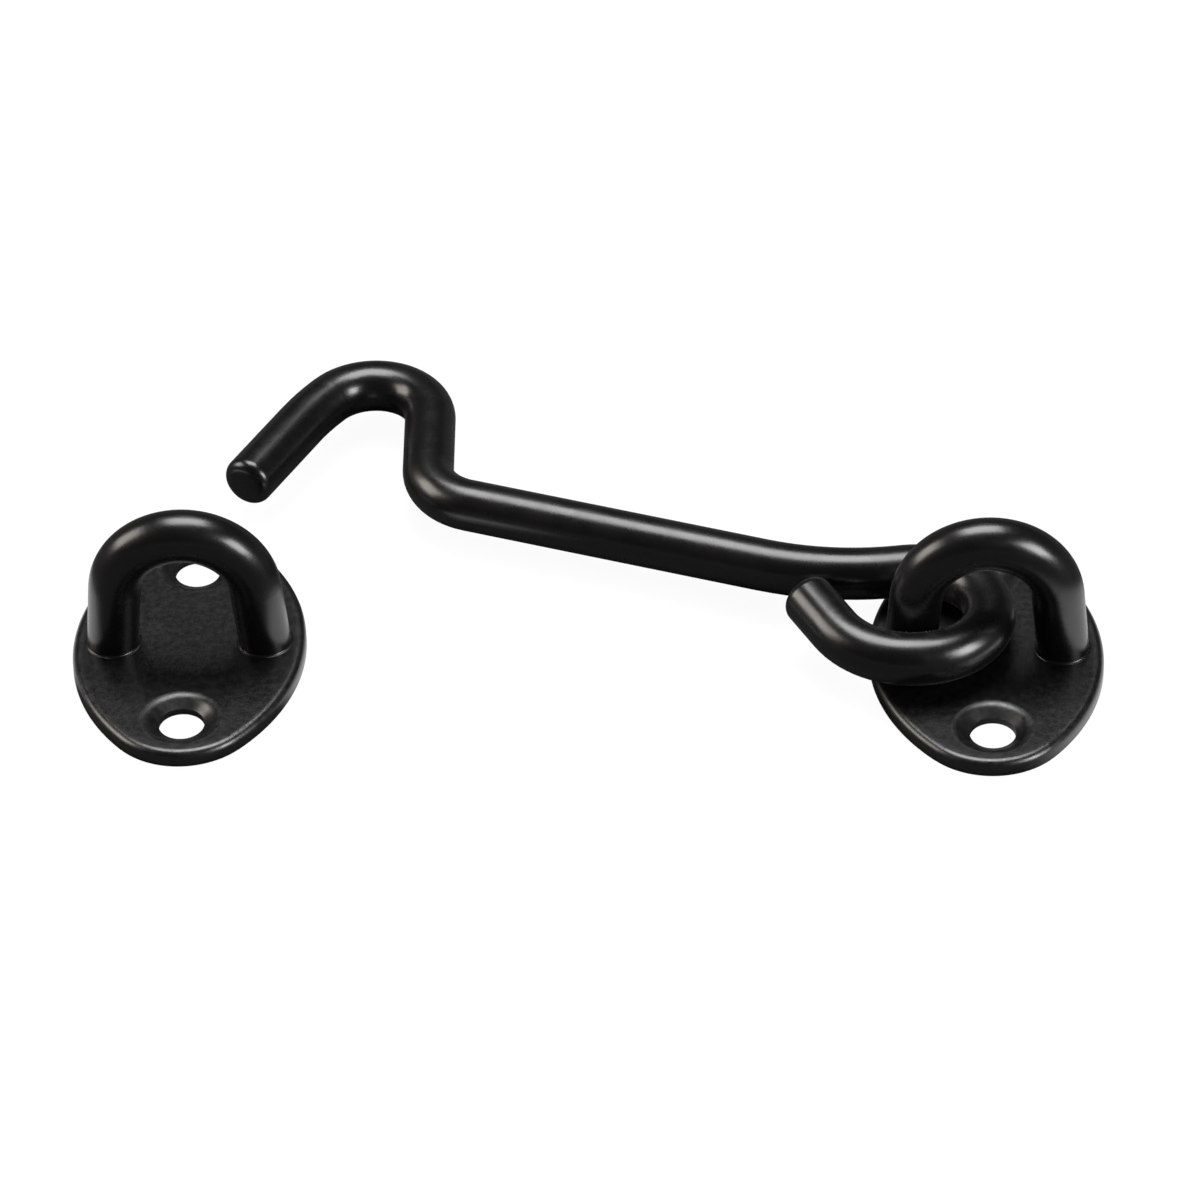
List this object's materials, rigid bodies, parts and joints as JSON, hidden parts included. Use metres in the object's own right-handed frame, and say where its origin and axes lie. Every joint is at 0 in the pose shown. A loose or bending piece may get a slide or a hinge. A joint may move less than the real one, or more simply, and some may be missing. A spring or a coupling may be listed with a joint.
{
  "type": "gate latch",
  "caption": "Black bent-rod cabin hook whose eye swings on a screw-down staple plate and whose bight drops round a leg of a matching keeper staple.",
  "frame": {"origin": "middle of the pivot plate's back face, level with the surface that both plates lie on", "axes": "+Z out of the mounting surface, +Y along the pivot plate's length and through its two screw holes, -X towards the keeper plate"},
  "size_m": [0.1173, 0.0707, 0.0201],
  "materials": {
    "plate_paint": "satin black paint with a fine grain",
    "rod_paint": "smooth satin black paint"
  },
  "bodies": {
    "base": {"keeper_plate": "plate_paint", "keeper_staple": "rod_paint", "pivot_plate": "plate_paint", "pivot_staple": "rod_paint"},
    "hook": {"hook_arm": "rod_paint"}
  },
  "joints": [
    {"name": "hook_swing", "type": "hinge", "parent": "base", "child": "hook", "pos_m": [-0.00839, 0, 0.0051], "axis": [0, 0, 1], "range_deg": [-100, 29.8]}
  ]
}
